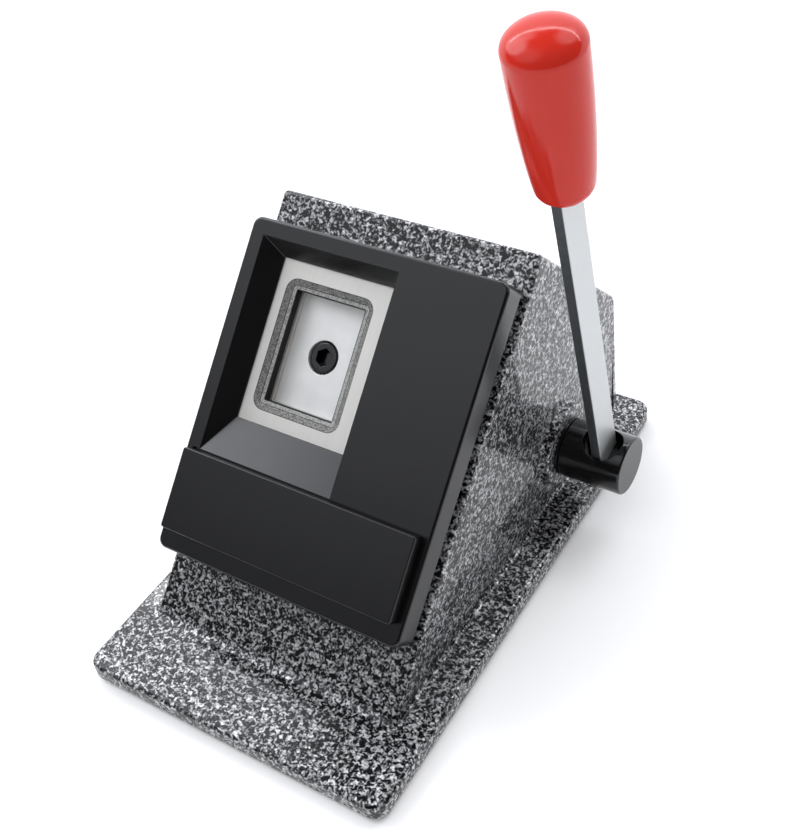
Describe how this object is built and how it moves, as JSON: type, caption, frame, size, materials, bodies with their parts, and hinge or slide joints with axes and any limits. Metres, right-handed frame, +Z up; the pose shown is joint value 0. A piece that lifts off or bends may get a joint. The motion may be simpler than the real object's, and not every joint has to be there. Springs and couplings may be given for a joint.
{
  "type": "id photo cutter",
  "caption": "Desk cutter for identity photographs: cast housing with a sloping front, windowed die plate and punch, worked by a side lever through a cam and ram.",
  "frame": {"origin": "middle of the underside of the rubber mat", "axes": "+X to the lever's side, +Y to the back, +Z up; the sloping front faces -Y and up"},
  "size_m": [0.1258, 0.183, 0.19],
  "materials": {
    "hammer_paint": "speckled black and silver enamel, gloss",
    "black_abs": "moulded ABS, satin gloss",
    "ground_steel": "ground",
    "plated_steel": "zinc plated",
    "black_steel": "black gloss",
    "chrome_bar": "bright plated",
    "red_grip": "moulded, gloss",
    "bronze": "turned",
    "mat_rubber": "matt",
    "spring_steel": "oil tempered",
    "machined_steel": "milled"
  },
  "bodies": {
    "housing": {"body_casting": "hammer_paint", "bottom_plate": "plated_steel", "bottom_plate_screws": "plated_steel", "base_mat": "mat_rubber", "front_cover": "black_abs", "cover_screws": "plated_steel", "trim_bar": "black_abs", "die_plate": "ground_steel", "die_screws": "plated_steel", "upper_spacer": "ground_steel", "lower_spacer": "ground_steel", "guide_plate": "ground_steel", "guide_plate_screws": "plated_steel", "guide_posts": "ground_steel", "return_springs": "spring_steel", "shaft_bush_right": "bronze", "shaft_bush_left": "bronze", "stop_pins": "ground_steel"},
    "lever": {"lever_shaft": "black_steel", "lever_bar": "chrome_bar", "lever_grip": "red_grip", "lever_set_screw": "black_steel", "thrust_washer": "black_steel", "shaft_collar": "machined_steel", "collar_set_screw": "black_steel", "cam": "machined_steel", "cam_set_screw": "black_steel"},
    "ram": {"ram_block": "machined_steel", "ram_bushes": "bronze", "wear_pad": "ground_steel", "punch": "ground_steel", "punch_screw": "black_steel"}
  },
  "joints": [
    {"name": "lever_hinge", "type": "hinge", "parent": "housing", "child": "lever", "pos_m": [0, 0.0409, 0.02757], "axis": [1, 0, 0], "range_deg": [0, 68], "stiffness_Nm_per_rad": 0.15, "springref_deg": -40.11},
    {"name": "ram_slide", "type": "slide", "parent": "housing", "child": "ram", "axis": [0, -0.7009, 0.7133], "range_m": [0, 0.0054], "deforming": ["return_springs"]}
  ],
  "couplings": [
    {"joint": "ram_slide", "follows": "lever_hinge", "m_per_rad": 0.0045}
  ]
}
